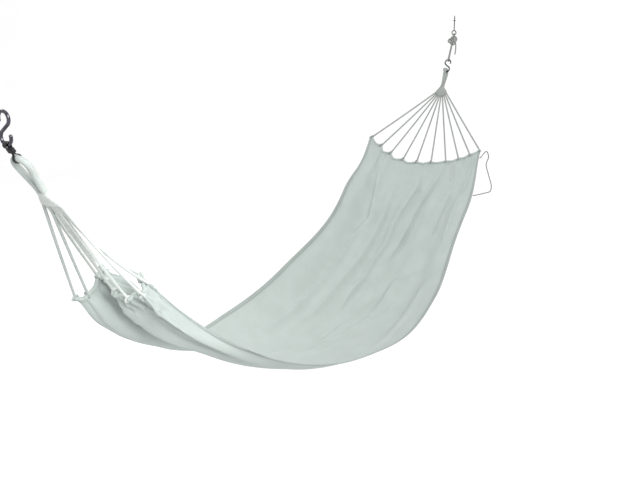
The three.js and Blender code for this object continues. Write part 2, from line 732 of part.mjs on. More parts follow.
hammock.position.copy(anchorMount).negate();
hammock.updateMatrixWorld(true);

export default hammock;
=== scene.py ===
import math

import bpy
import numpy as np
from mathutils import Euler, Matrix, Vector


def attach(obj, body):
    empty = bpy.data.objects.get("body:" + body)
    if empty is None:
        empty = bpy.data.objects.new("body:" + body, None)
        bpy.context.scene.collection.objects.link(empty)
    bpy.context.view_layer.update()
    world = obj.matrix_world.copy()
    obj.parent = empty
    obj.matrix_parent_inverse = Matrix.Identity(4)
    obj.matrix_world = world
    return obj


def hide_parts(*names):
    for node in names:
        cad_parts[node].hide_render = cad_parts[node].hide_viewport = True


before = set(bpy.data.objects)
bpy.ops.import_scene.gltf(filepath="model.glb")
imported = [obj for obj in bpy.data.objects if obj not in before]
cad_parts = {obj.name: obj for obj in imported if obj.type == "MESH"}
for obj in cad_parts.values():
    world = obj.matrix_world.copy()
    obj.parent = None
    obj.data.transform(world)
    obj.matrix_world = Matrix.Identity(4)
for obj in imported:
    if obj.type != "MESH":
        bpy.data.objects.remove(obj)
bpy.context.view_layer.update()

# Camera
CAMERA_AT = (-2.9916, -0.9628, -0.0179)
CAMERA_TURN = (72.46, 0, -61.51)
CAMERA_LENS = 38.30


def in_scene(name, data):
    made = bpy.data.objects.new(name, data)
    bpy.context.scene.collection.objects.link(made)
    return made


camera = in_scene("camera", bpy.data.cameras.new("camera"))
camera.location = CAMERA_AT
camera.rotation_euler = Euler([math.radians(a) for a in CAMERA_TURN])
camera.data.lens = CAMERA_LENS
camera.data.sensor_width = 36
camera.data.clip_start = 0.01
camera.data.clip_end = 60
bpy.context.scene.camera = camera

# Driving dimensions, the same as the solids', in millimetres and degrees. Shapes are worked out from
# the top of the near eye, +X to the far end, +Z up. Pairs are for the near end and the far end.
EYE_SPAN, EYE_RISE = 2184, 24
BED_LENGTH, EYE_LENGTH = 1988, 76
CORD_LENGTHS = (350, 362)
CORDS, CORD_DIAMETER, CORD_PITCH, CORD_SPREAD = 10, 4.6, 5, 0.96
END_HEM_RADIUS = 4.6
EYE_STRAND, EYE_BEND, EYE_STRAIGHT = 12, 16, 12
CLEW_LENGTH, CLEW_THICKNESS = 30, 9
CLEW_HALF = CORDS * CORD_PITCH / 2
NEAR_CLEW_POINT, FAR_CLEW_POINT = 2, 12
GAP = 0.3
HOOK_ROD, HOOK_HEIGHT, HOOK_BEND, HOOK_TIP = 6, 54, 12, 14
NEAR_HOOK_SLOPE, FAR_HOOK_SLOPE = 90, 66
STRAP_THICKNESS, STRAP_WIDTH, STRAP_PINCHED = 2.4, 12, 8
STRAP_SLOPE, STRAP_REACH = 122, 29
ROPE, ROPE_SLOPE, ROPE_REACH = 5, 61, 117
KNOT_FROM_RING, KNOT_RADIUS, KNOT_TURN, KNOT_ASIDE = 22, 8.5, 8, 13.9
TAIL_SWAY, TAIL_LENGTH = 3, 52
RING_WIRE, RING_BEND, SHANK_LENGTH = 4, 9, 42

# The bed's values at even stations from its near end to its far end
HALF_CHORDS = [48, 191, 287, 298, 260, 276]
DIPS = [49, 14, 98, 116, 57, 10]
NEAR_SHIFT, FAR_SHIFT = 73, 14  # each end hangs to one side
NEAR_ROLL, FAR_ROLL = 7, -5.6  # degrees
TURN_REACH = 0.5  # share of the bed that each end's shift and roll reach into

# Shape of each end at even stations from its -Y edge to its +Y edge
NEAR_ACROSS = [34, 24, 2, 20, 56, 84, 112, 124, 118, 122, 140]
NEAR_INWARD = [60, 50, 28, 8, 4, 22, 37, 46, 10, -26, -40]
NEAR_GATHER = 0.32  # share of the bed that the bunched shape reaches into
NEAR_FOLDS = [0, -4, -14, 16, -8, -2, 12, 14, 6, 4, 14]
NEAR_FOLD_REACH, FOLDS_START = 0.36, (-0.04, 0.06)
FAR_ACROSS = [-227, -198, -160, -117, -64, -5, 58, 123, 181, 225, 259]
FAR_INWARD = [-4, -3, -4, -6, -3, -6, -20, -30, -29, -26, -20]
FAR_SPREAD = 0.15  # share of the bed that the spread shape reaches into
FAR_FOLD_DEPTH, FAR_FOLDS, FAR_FOLD_REACH, FLAT_EDGE = 7, 5, 0.75, 0.08
END_SAGS = (  # how far the hem hangs back between each two cords
    [3.5, 3.5, 3.5, 3.5, 3.5, 3.5, 3.5, 3.5, 3.5],
    [3.5, 3, 3, 3, 4, 6, 8, 9, 8],
)
CORNER_DROOP = 8

ACROSS = np.array([0.0, 1.0, 0.0])
DOWN = np.array([0.0, 0.0, -1.0])
LINE_LENGTH = BED_LENGTH + sum(CORD_LENGTHS) + 2 * EYE_LENGTH


# Numbers

def smoothstep(x, low, high):
    t = np.clip((np.asarray(x, float) - low) / (high - low), 0, 1)
    return t * t * (3 - 2 * t)


def fade_out(t, end):
    return smoothstep(1 - np.asarray(t, float) / end, 0, 1)


def mix(a, b, t):
    return a + (b - a) * t


def stations(values, t):
    """A smooth curve through values at even stations, at the shares t of its length."""
    values = np.asarray(values, float)
    last = len(values) - 1
    at = np.clip(t, 0, 1) * last
    i = np.minimum(np.floor(at).astype(int), last - 1)
    f = at - i

    def slope(k):
        return (values[np.minimum(k + 1, last)] - values[np.maximum(k - 1, 0)]) / 2

    a, b = values[i], values[i + 1]
    h = f * f * (3 - 2 * f)
    return a + (b - a) * h + slope(i) * f * (1 - f) ** 2 - slope(i + 1) * f * f * (1 - f)


def unit(v):
    v = np.asarray(v, float)
    return v / np.maximum(np.linalg.norm(v, axis=-1, keepdims=True), 1e-12)


def catenary_scale():
    """The hanging curve's scale for its length and span, found by halving."""
    target = math.sqrt(LINE_LENGTH**2 - EYE_RISE**2) / EYE_SPAN
    low, high = 0.01, 10
    for _ in range(60):
        middle = (low + high) / 2
        if math.sinh(middle) / middle < target:
            low = middle
        else:
            high = middle
    return EYE_SPAN / (2 * low)


SAG_SCALE = catenary_scale()
NEAR_FROM_LOWEST = SAG_SCALE * math.atanh(EYE_RISE / LINE_LENGTH) - EYE_SPAN / 2
LOWEST = -SAG_SCALE * math.sinh(NEAR_FROM_LOWEST / SAG_SCALE)


# Hanging line and bed: u runs along the bed from 0 to 1, v across it from -1 to 1

def line_at(s):
    """Place, direction to the far end and normal on the sleeper's side, at a length s along the line."""
    rise = (np.asarray(s, float) - LOWEST) / SAG_SCALE
    start = LOWEST / SAG_SCALE
    x = SAG_SCALE * (np.arcsinh(rise) + math.asinh(start))
    z = SAG_SCALE * (np.hypot(1, rise) - math.hypot(1, start))
    size = np.hypot(1, rise)
    none = np.zeros_like(x)
    at = np.stack([x, none, z], -1)
    along = np.stack([1 / size, none, rise / size], -1)
    inward = np.stack([-rise / size, none, 1 / size], -1)
    return at, along, inward


def section_at(u, v):
    """How far across and how far towards the sleeper a place of the bed lies from the line."""
    half, dip = stations(HALF_CHORDS, u), stations(DIPS, u)
    near_turn, far_turn = fade_out(u, TURN_REACH), fade_out(1 - u, TURN_REACH)
    roll = np.radians(NEAR_ROLL * near_turn + FAR_ROLL * far_turn)
    fold = FAR_FOLD_DEPTH * np.cos(math.pi * FAR_FOLDS * v) * fade_out(1 - u, FAR_FOLD_REACH)
    across = half * v
    inward = dip * v * v + fold * smoothstep(1 - np.abs(v), 0, FLAT_EDGE)
    trough_across = NEAR_SHIFT * near_turn + FAR_SHIFT * far_turn + across * np.cos(roll)
    trough_inward = inward * np.cos(roll) - across * np.sin(roll)
    share = (v + 1) / 2
    gather = fade_out(u, NEAR_GATHER)
    spread = fade_out(1 - u, FAR_SPREAD)
    stand = fade_out(u, NEAR_FOLD_REACH) * smoothstep(u, *FOLDS_START)

    def held(middle, near_edge, far_edge):
        return mix(mix(middle, stations(near_edge, share), gather), stations(far_edge, share), spread)

    return (
        held(trough_across, NEAR_ACROSS, FAR_ACROSS),
        held(trough_inward, NEAR_INWARD, FAR_INWARD) + stations(NEAR_FOLDS, share) * stand,
    )


def cord_number(v):
    """Counts the cords across the bed, from 0 at the -Y one to CORDS - 1 at the +Y one."""
    return (CORDS - 1) * (v / CORD_SPREAD + 1) / 2


def gap_value(values, v):
    """The value for the gap between two cords that v lies in."""
    return np.array(values, float)[np.clip(np.floor(cord_number(v)), 0, CORDS - 2).astype(int)]


def end_of_bed(end, v):
    """Length along the line at which the bed ends: 0 is its near end and 1 its far end."""
    across, inward = section_at(np.full_like(v, end), v)
    droop = CORNER_DROOP * smoothstep(np.abs(v), CORD_SPREAD, 1)
    hang = gap_value(END_SAGS[end], v) / 2 * (1 - np.cos(2 * math.pi * cord_number(v)))
    sag = np.where(np.abs(v) < CORD_SPREAD, hang, 0)
    reach = np.sqrt(CORD_LENGTHS[end] ** 2 - across**2 - inward**2) + droop + sag
    return LINE_LENGTH - EYE_LENGTH - reach if end else EYE_LENGTH + reach


def bed_point(u, v):
    u, v = np.broadcast_arrays(np.asarray(u, float), np.asarray(v, float))
    s = mix(end_of_bed(0, v), end_of_bed(1, v), u)
    across, inward = section_at(u, v)
    at, _, normal = line_at(s)
    return at + across[..., None] * ACROSS + inward[..., None] * normal


STEP = 1e-4


def along_bed(u, v):
    return (bed_point(u + STEP, v) - bed_point(u - STEP, v)) / (2 * STEP)


def across_bed(u, v):
    return (bed_point(u, v + STEP) - bed_point(u, v - STEP)) / (2 * STEP)


def bed_normal(u, v):
    return unit(np.cross(along_bed(u, v), across_bed(u, v)))


# Where the hardware hangs

def slope_way(degrees):
    return np.array([math.cos(math.radians(degrees)), 0, math.sin(math.radians(degrees))])


def square_to(way):
    """The direction a quarter turn up from another one, in the plane of the hanging line."""
    return np.array([-way[2], 0, way[0]])


def throat(s, out, point):
    """Where an eye's legs meet: its place, the way to the eye's top and the sleeper's side."""
    at, along, inward = line_at(float(s))
    return {"at": at, "out": along * out, "inward": inward, "point": point}


near = throat(EYE_LENGTH, -1, NEAR_CLEW_POINT)
far = throat(LINE_LENGTH - EYE_LENGTH, 1, FAR_CLEW_POINT)
near_eye_top = near["at"] + near["out"] * EYE_LENGTH
far_eye_top = far["at"] + far["out"] * EYE_LENGTH
strap_way = slope_way(STRAP_SLOPE)
strap_normal = square_to(strap_way)
near_hook_foot = near_eye_top + strap_way * STRAP_REACH
near_hook_up = slope_way(NEAR_HOOK_SLOPE)
far_hook_up = slope_way(FAR_HOOK_SLOPE)
far_hook_foot = far_eye_top - far_hook_up * ((EYE_STRAND + HOOK_ROD) / 2 + 2 * GAP)
far_hook_top = far_hook_foot + far_hook_up * HOOK_HEIGHT
rope_way = slope_way(ROPE_SLOPE)
rope_normal = square_to(rope_way)
ring_wire = far_hook_top + rope_way * ROPE_REACH
swing_way = ring_wire - (near_hook_foot + near_hook_up * (HOOK_HEIGHT - HOOK_BEND))
anchor_collar = np.round(ring_wire + unit(square_to(swing_way)) * (2 * RING_BEND + SHANK_LENGTH), 3)
knot_at = ROPE_REACH - KNOT_FROM_RING


def rope_point(along, aside, across=0.0):
    return far_hook_top + rope_way * along + rope_normal * aside + ACROSS * across


# Meshes
METRE = 1000


def to_scene(points):
    """Places in the frame, in metres from the anchor's collar."""
    return (np.asarray(points, float).reshape(-1, 3) - anchor_collar) / METRE


def piece(name, points, faces, paint, slot, replaces):
    """A part of the swinging body that takes the place of the solids it names."""
    mesh = bpy.data.meshes.new(name)
    mesh.from_pydata(to_scene(points).tolist(), [], [list(map(int, f)) for f in faces])
    mesh.validate()
    mesh.polygons.foreach_set("use_smooth", [True] * len(mesh.polygons))
    mesh.materials.append(paint)
    made = in_scene(name, mesh)
    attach(made, "hammock")
    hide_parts(*replaces)
    return made


def flat_places(made, places):
    """Gives each vertex its place in the flat cloth, which the weave follows."""
    layer = made.data.attributes.new("flat", "FLOAT_VECTOR", "POINT")
    layer.data.foreach_set("vector", np.asarray(places, float).astype(np.float32).ravel())


def ring_faces(rings, sides, closed=False):
    """Quads between rings of points, also from the last ring to the first one where it is closed."""
    faces = []
    for i in range(rings if closed else rings - 1):
        a, b = i * sides, ((i + 1) % rings) * sides
        for k in range(sides):
            m = (k + 1) % sides
            faces.append((a + k, a + m, b + m, b + k))
    return faces


def tube_faces(rings, sides):
    """Quads between rings, and fans to the two end points that follow the rings' points."""
    faces = ring_faces(rings, sides)
    count = rings * sides
    last = count - sides
    for k in range(sides):
        m = (k + 1) % sides
        faces.append((count, m, k))
        faces.append((count + 1, last + k, last + m))
    return faces


def frames_along(path):
    """Directions along a path and two normals that don't twist."""
    ways = unit(np.gradient(path, axis=0))
    first = ACROSS if abs(ways[0][1]) < 0.9 else np.array([1.0, 0.0, 0.0])
    normal = unit(first - ways[0] * np.dot(first, ways[0]))
    normals = [normal]
    for way in ways[1:]:
        normal = unit(normal - way * np.dot(normal, way))
        normals.append(normal)
    normals = np.array(normals)
    return ways, normals, np.cross(ways, normals)


def lengths_along(path):
    return np.concatenate([[0], np.cumsum(np.linalg.norm(np.diff(path, axis=0), axis=1))])


def resample(points, step):
    points = np.asarray(points, float)
    lengths = lengths_along(points)
    count = max(2, int(round(lengths[-1] / step)) + 1)
    at = np.linspace(0, lengths[-1], count)
    return np.stack([np.interp(at, lengths, points[:, k]) for k in range(3)], -1)


SPAN_POINTS = 24  # of a smooth path between two of its given points


def smooth_path(points, step, closed=False):
    """Centripetal Catmull-Rom through the points, evenly spaced."""
    p = np.asarray(points, float)
    if closed:
        p = np.vstack([p[-1], p, p[0], p[1]])
    else:
        p = np.vstack([2 * p[0] - p[1], p, 2 * p[-1] - p[-2]])
    out = []
    for i in range(1, len(p) - 2):
        a, b, c, d = p[i - 1], p[i], p[i + 1], p[i + 2]
        t1 = max(np.linalg.norm(b - a), 1e-6) ** 0.5
        t2 = t1 + max(np.linalg.norm(c - b), 1e-6) ** 0.5
        t3 = t2 + max(np.linalg.norm(d - c), 1e-6) ** 0.5
        t = np.linspace(t1, t2, SPAN_POINTS, endpoint=False)[:, None]
        ab = (t1 - t) / t1 * a + t / t1 * b
        bc = (t2 - t) / (t2 - t1) * b + (t - t1) / (t2 - t1) * c
        cd = (t3 - t) / (t3 - t2) * c + (t - t2) / (t3 - t2) * d
        abc = (t2 - t) / t2 * ab + t / t2 * bc
        bcd = (t3 - t) / (t3 - t1) * bc + (t - t1) / (t3 - t1) * cd
        out.append((t2 - t) / (t2 - t1) * abc + (t - t1) / (t2 - t1) * bcd)
    return resample(np.vstack(out + [p[1] if closed else p[-2]]), step)


MEAN_LOBE = 0.64  # of the cosine's size over a turn
TUBE_CROWN = 0.35  # how far a tube's ends stand out, as a share of its radius


def swept(path, radius, sides, twist=0.0, lobes=0, lobe_depth=0.0):
    """A closed tube along a path, with one radius or one a point. Lobes that twist look like strands."""
    ways, normals, seconds = frames_along(path)
    radius = np.broadcast_to(np.asarray(radius, float), (len(path),))
    angle = np.arange(sides) * 2 * math.pi / sides
    turn = lengths_along(path)[:, None] * twist + angle[None]
    lobe = lobe_depth * (np.abs(np.cos(lobes * turn / 2)) - MEAN_LOBE) if lobes else 0
    size = radius[:, None] * (1 + lobe)
    points = (
        path[:, None]
        + normals[:, None] * (size * np.cos(angle))[..., None]
        + seconds[:, None] * (size * np.sin(angle))[..., None]
    )
    crowns = [path[:1] - ways[:1] * radius[0] * TUBE_CROWN, path[-1:] + ways[-1:] * radius[-1] * TUBE_CROWN]
    return np.vstack([points.reshape(-1, 3), *crowns]), tube_faces(len(path), sides)


def together(*parts):
    points, faces, shift = [], [], 0
    for p, f in parts:
        points.append(np.asarray(p).reshape(-1, 3))
        faces += [tuple(i + shift for i in face) for face in f]
        shift += len(points[-1])
    return np.vstack(points), faces


# Materials

def material(name):
    made = bpy.data.materials.new(name)
    made.use_nodes = True
    nodes = made.node_tree.nodes
    return made, nodes, made.node_tree.links, nodes["Principled BSDF"]


def node(nodes, kind, **values):
    made = nodes.new(kind)
    for key, value in values.items():
        if key in made.inputs.keys():
            made.inputs[key].default_value = value
        else:
            setattr(made, key, value)
    return made


def calculate(nodes, links, operation, *values):
    """The result of one operation on sockets and numbers."""
    made = node(nodes, "ShaderNodeMath", operation=operation)
    for value, socket in zip(values, made.inputs):
        if isinstance(value, bpy.types.NodeSocket):
            links.new(value, socket)
        else:
            socket.default_value = value
    return made.outputs[0]


def blend(nodes, links, first, second, share):
    made = node(nodes, "ShaderNodeMix", data_type="FLOAT", Factor=share)
    links.new(first, made.inputs[2])
    links.new(second, made.inputs[3])
    return made.outputs[0]


def ramp(nodes, links, source, stops):
    made = nodes.new("ShaderNodeValToRGB")
    while len(made.color_ramp.elements) < len(stops):
        made.color_ramp.elements.new(0.5)
    for element, (at, colour) in zip(made.color_ramp.elements, stops):
        element.position = at
        element.color = (*colour, 1)
    links.new(source, made.inputs["Fac"])
    return made.outputs["Color"]


def emboss(nodes, links, height, strength, depth, shader):
    made = node(nodes, "ShaderNodeBump", Strength=strength, Distance=depth)
    links.new(height, made.inputs["Height"])
    links.new(made.outputs[0], shader.inputs["Normal"])


def set_inputs(shader, **values):
    for key, value in values.items():
        shader.inputs[key.replace("_", " ")].default_value = value


def cloth_material(name, dark, light):
    """Plain weave in the flat cloth's own millimetres, with blotches of colour as cotton takes them."""
    thread_pitch = 0.9
    made, nodes, links, shader = material(name)
    flat = node(nodes, "ShaderNodeAttribute", attribute_name="flat").outputs["Vector"]
    split = nodes.new("ShaderNodeSeparateXYZ")
    links.new(flat, split.inputs[0])

    def wave(across):
        turn = calculate(nodes, links, "MULTIPLY", across, math.pi / thread_pitch)
        return calculate(nodes, links, "ABSOLUTE", calculate(nodes, links, "SINE", turn))

    threads = calculate(nodes, links, "MULTIPLY", wave(split.outputs["X"]), wave(split.outputs["Y"]))
    stretch = node(nodes, "ShaderNodeMapping", Scale=(0.35, 0.02, 0.1))
    links.new(flat, stretch.inputs["Vector"])
    slub = node(nodes, "ShaderNodeTexNoise", Scale=1.0, Detail=3.0, Roughness=0.6)
    links.new(stretch.outputs[0], slub.inputs["Vector"])
    blotch = node(nodes, "ShaderNodeTexNoise", Scale=0.012, Detail=4.0, Roughness=0.55)
    links.new(flat, blotch.inputs["Vector"])
    both = blend(nodes, links, blotch.outputs["Fac"], slub.outputs["Fac"], 0.35)
    links.new(ramp(nodes, links, both, [(0.3, dark), (0.7, light)]), shader.inputs["Base Color"])
    height = calculate(nodes, links, "MULTIPLY_ADD", slub.outputs["Fac"], 0.6, threads)
    emboss(nodes, links, height, 0.5, 0.0004, shader)
    set_inputs(shader, Roughness=0.94, Sheen_Weight=0.12, Sheen_Roughness=0.5, Specular_IOR_Level=0.18)
    return made


def fibre_material(name, dark, light, scale, roughness=0.9, bump=0.35):
    """Twisted or wrapped fibre: fine streaks and soiling by the object's own coordinates."""
    made, nodes, links, shader = material(name)
    place = nodes.new("ShaderNodeTexCoord").outputs["Object"]
    fine = node(nodes, "ShaderNodeTexNoise", Scale=scale, Detail=5.0, Roughness=0.65)
    links.new(place, fine.inputs["Vector"])
    broad = node(nodes, "ShaderNodeTexNoise", Scale=scale / 24, Detail=2.0)
    links.new(place, broad.inputs["Vector"])
    both = blend(nodes, links, fine.outputs["Fac"], broad.outputs["Fac"], 0.5)
    links.new(ramp(nodes, links, both, [(0.32, dark), (0.68, light)]), shader.inputs["Base Color"])
    emboss(nodes, links, fine.outputs["Fac"], bump, 0.0005, shader)
    set_inputs(shader, Roughness=roughness, Sheen_Weight=0.15, Specular_IOR_Level=0.2)
    return made


def metal_material(name, dark, light, gloss):
    """Polished metal with faint smears in its gloss."""
    made, nodes, links, shader = material(name)
    place = nodes.new("ShaderNodeTexCoord").outputs["Object"]
    smear = node(nodes, "ShaderNodeTexNoise", Scale=70.0, Detail=4.0, Roughness=0.6)
    links.new(place, smear.inputs["Vector"])
    colour = ramp(nodes, links, smear.outputs["Fac"], [(0.3, dark), (0.7, light)])
    links.new(colour, shader.inputs["Base Color"])
    roughness = nodes.new("ShaderNodeMapRange")
    roughness.inputs["To Min"].default_value, roughness.inputs["To Max"].default_value = gloss
    links.new(smear.outputs["Fac"], roughness.inputs["Value"])
    links.new(roughness.outputs[0], shader.inputs["Roughness"])
    set_inputs(shader, Metallic=1.0)
    return made


canvas = cloth_material("canvas", (0.378, 0.425, 0.406), (0.43, 0.48, 0.46))
# Darker than the canvas: painted shade that draws the dark line along each selvedge.
side_hem_shaded_canvas = cloth_material("side_hem_shaded_canvas", (0.29, 0.325, 0.31), (0.335, 0.372, 0.355))
cotton = fibre_material("cotton_cord", (0.48, 0.51, 0.49), (0.60, 0.635, 0.61), 900)
served = fibre_material("served_cotton", (0.34, 0.372, 0.358), (0.43, 0.468, 0.45), 700)
# A darker copy of the cord cotton for the far end's cords, eye and clew: painted shade of the far end, which
# lies further from the lamps.
far_cotton_shaded = fibre_material("far_cord_cotton_shaded", (0.24, 0.255, 0.245), (0.34, 0.36, 0.345), 900)
hang_cotton = fibre_material("rope_cotton", (0.19, 0.195, 0.19), (0.30, 0.31, 0.30), 900)
tie_cloth = fibre_material("tie_cord_cloth", (0.025, 0.028, 0.028), (0.06, 0.066, 0.066), 1200)
webbing = fibre_material("webbing", (0.006, 0.006, 0.007), (0.018, 0.018, 0.02), 1500, 0.8, 0.6)
chrome = metal_material("dark_chrome", (0.055, 0.055, 0.066), (0.13, 0.13, 0.155), (0.06, 0.16))
dark_steel = metal_material("dark_steel", (0.03, 0.03, 0.032), (0.07, 0.07, 0.075), (0.3, 0.45))

# Free cords
TIE_BRAID = dict(twist=0.9, lobes=6, lobe_depth=0.22)
ROPE_STRANDS = dict(twist=0.42, lobes=3, lobe_depth=0.3)
ROPE_STEP = 0.8


# Tie cord: the solid's route, but it comes back level, a little nearer the far end
TIE_CORD, TIE_SEAT, TIE_STEP = 3, 2.2, 0.9
TIE_FROM, TIE_BACK = 0.985, 0.9  # shares of the bed's length
TIE_TURNS = [
    (1994, -249, -281), (1984, -262, -299), (1956, -262, -326), (1925, -282, -360),
    (1899, -303, -397), (1871, -307, -414), (1850, -291, -419),
]


def tie_seat(u, away):
    return bed_point(u, -1) - unit(across_bed(u, -1)) * away


tie_route = [tie_seat(TIE_FROM, TIE_SEAT), tie_seat(TIE_FROM, 2 * TIE_CORD), *TIE_TURNS,
             tie_seat(TIE_BACK, 2 * TIE_CORD), tie_seat(TIE_BACK, TIE_SEAT)]
tie_path = smooth_path(tie_route, TIE_STEP)
tie_cord = piece("tie_cord_braid", *swept(tie_path, TIE_CORD / 2, sides=12, **TIE_BRAID), tie_cloth,
                 slot="tie_cord", replaces=["tie_cord"])

# Tail of the hanging rope, below its knot
TAIL_STATIONS = [0, 0.3, 0.65, 1]  # shares of its length
tail_top = rope_point(knot_at - KNOT_ASIDE + ROPE / 2, 0, -KNOT_ASIDE)
tail_route = [tail_top - ACROSS * TAIL_SWAY * math.sin(i) + DOWN * TAIL_LENGTH * f
              for i, f in enumerate(TAIL_STATIONS)]
tail_path = smooth_path(tail_route, ROPE_STEP)
rope_tail = piece("rope_tail_strands", *swept(tail_path, ROPE / 2, sides=15, **ROPE_STRANDS), hang_cotton,
                  slot="cotton", replaces=["rope_tail"])

# Folds of the bed. Lines are (u, v) places, and breadths are in millimetres, on the -Y and +Y side.
# Lengthwise pleats of the spread part: line, how far it stands up, and its two breadths
PLEATS = [
    ([(0.36, 0.78), (0.393, 0.758), (0.432, 0.65), (0.49, 0.625), (0.58, 0.617), (0.667, 0.59),
      (0.77, 0.6), (0.835, 0.45), (0.893, 0.53), (0.953, 0.63), (0.99, 0.66)], 5.0, 34, 9),
    ([(0.56, 0.2), (0.595, 0.192), (0.66, 0.192), (0.698, 0.133), (0.745, 0.125), (0.79, 0.05),
      (0.845, 0.05), (0.885, 0.0), (0.935, -0.05), (0.99, -0.02)], 5.5, 10, 38),
    ([(0.74, -0.06), (0.787, -0.117), (0.853, -0.175), (0.888, -0.192), (0.925, -0.242),
      (0.975, -0.31)], 4.5, 9, 26),
    ([(0.945, -0.53), (0.955, -0.517), (0.99, -0.47)], 3.0, 7, 14),
    ([(0.9, -0.81), (0.93, -0.825), (0.995, -0.842)], 3.0, 7, 16),
    ([(0.8, -0.58), (0.825, -0.583), (0.893, -0.592), (0.92, -0.6)], 3.5, 9, 22),
    ([(0.77, -0.83), (0.79, -0.817), (0.865, -0.792), (0.89, -0.79)], 3.2, 9, 20),
    ([(0.41, 0.1), (0.45, 0.033), (0.545, -0.117), (0.613, -0.267), (0.695, -0.308),
      (0.728, -0.583)], 4.5, 26, 22),
    ([(0.38, 0.34), (0.427, 0.275), (0.5, 0.117), (0.562, 0.083), (0.623, -0.133),
      (0.67, -0.217)], -3.2, 12, 30),
    ([(0.44, 0.46), (0.55, 0.42), (0.66, 0.4), (0.75, 0.33), (0.86, 0.27), (0.97, 0.3)], 2.6, 22, 14),
    ([(0.34, -0.62), (0.45, -0.66), (0.56, -0.7), (0.68, -0.74)], 3.4, 26, 16),
]
PLEAT_HEIGHT, PLEAT_BREADTH = 2.2, 0.62  # factors that sharpen all of them

# Creases of the gathered part: line, how far the cloth stands towards the sleeper, its two breadths,
# and where in u it starts and ends
GATHERED_CHORD = 158
NEAR_CREASES = [
    ([(0.0, 0.5), (0.25, 0.42)], -24.0, 30, 56, (0.0, 0.035), (0.1, 0.2)),
    ([(0.0, -0.1), (0.05, -0.13), (0.12, -0.16), (0.2, -0.2), (0.3, -0.2)],
     -17.0, 14, 16, (0.0, 0.035), (0.08, 0.18)),
    ([(0.0, -0.29), (0.05, -0.3), (0.12, -0.31), (0.2, -0.42), (0.3, -0.5)],
     5.0, 5, 4, (0.01, 0.04), (0.16, 0.3)),
    ([(0.02, -0.44), (0.06, -0.47), (0.12, -0.52), (0.18, -0.6)], 4.0, 14, 6, (0.03, 0.07), (0.14, 0.22)),
    ([(0.0, -0.8), (0.05, -0.78), (0.1, -0.7)], -4.0, 20, 20, (0.0, 0.03), (0.1, 0.2)),
    ([(0.0, 0.84), (0.04, 0.86), (0.09, 0.9)], 3.0, 5, 7, (0.0, 0.01), (0.03, 0.09)),
    ([(0.0, 0.6), (0.03, 0.66), (0.07, 0.74)], 3.5, 6, 5, (0.0, 0.01), (0.03, 0.08)),
]

# Gathers between the near cords: how far they stand, and where in u they start, fade or end
PUCKER_AT_HEM, PUCKER_BEHIND, PUCKER_FADE = 3.2, 4.6, (0.03, 0.13)
FINE_PUCKER, FINE_REACH = 3.0, 0.075
LONG_FOLD, LONG_START, LONG_REACH = 1.8, (0.02, 0.12), 0.42
CRUSH, CRUSH_REACHES = 5.5, (0.14, 0.09)  # on the -Y half and on the +Y half
CALM, CALM_FROM = 0.9, (0.36, 0.55)  # the +Y side, from these v on, is that much smoother
MOUTH_FILL, FILL_AT, FILL_BREADTH = 24, 0.13, 0.19  # a lobe that fills the mouth, in v
FILL_START, FILL_REACH = (0.003, 0.03), 0.3

# Short creases that the cords pull into the cloth under the far hem: v, depth and length in u
FAR_PULLS = [
    (-0.96, 2.2, 0.03), (-0.747, 2.6, 0.05), (-0.64, -3.2, 0.035), (-0.533, 2.4, 0.04),
    (-0.32, 2.8, 0.06), (-0.107, 2.6, 0.05), (0.008, -3.4, 0.045), (0.107, 2.6, 0.06),
    (0.32, 3.0, 0.08), (0.533, 3.2, 0.07), (0.6, -3.2, 0.04), (0.747, 4.0, 0.08), (0.96, 3.4, 0.06),
]
PULL_WIDTH, PULL_SPREAD = 5, 160
FAR_STAIRS = [0, 0, 0, 1.5, 2, 5, 10, 13, 13]  # extra sag of the far hem between its cords
STAIRS_REACH = 0.12
SLACK_FROM, SLACK_TO = (0.2, 0.45), (0.9, 1.0)
BROAD_WRINKLE, CROSSED_WRINKLE, FINE_WRINKLE = 1.3, 1.1, 0.35
EAR, EAR_FROM, EAR_REACH = 20, 0.9, 0.09  # the far +Y corner hangs out beyond its cord
BELLY, BELLY_FROM = 18, 0.55  # the gathered +Y edge hangs lower
BELLY_START, BELLY_END = (0.0, 0.05), (0.075, 0.17)


def bell(x):
    return np.exp(-(x**2))


def line_offset(u, v, line):
    us, vs = np.array(line).T
    return v - np.interp(u, us, vs)


def pleat(u, v, line, depth, low, high):
    """A soft fold along a line, with unequal sides, that fades at its ends."""
    first, last = line[0][0], line[-1][0]
    off = line_offset(u, v, line) * stations(HALF_CHORDS, u)
    start = smoothstep(u, first, mix(first, last, 0.25))
    end = 1 - smoothstep(u, mix(first, last, 0.85), last + 0.012)
    return PLEAT_HEIGHT * depth * start * end * bell(off / PLEAT_BREADTH / np.where(off < 0, low, high))


def crease(u, v, line, depth, low, high, start, end):
    """A fold of the gathered part along a line."""
    off = line_offset(u, v, line) * GATHERED_CHORD
    run = smoothstep(u, *start) * (1 - smoothstep(u, *end))
    return depth * run * bell(off / np.where(off < 0, low, high))


def wander(x, seed):
    """Smooth values between about -1 and 1 that don't repeat within the bed."""
    return 0.5 * np.sin(x + seed) + 0.3 * np.sin(1.73 * x + 2.1 * seed) + 0.2 * np.sin(3.19 * x + 4.7 * seed)


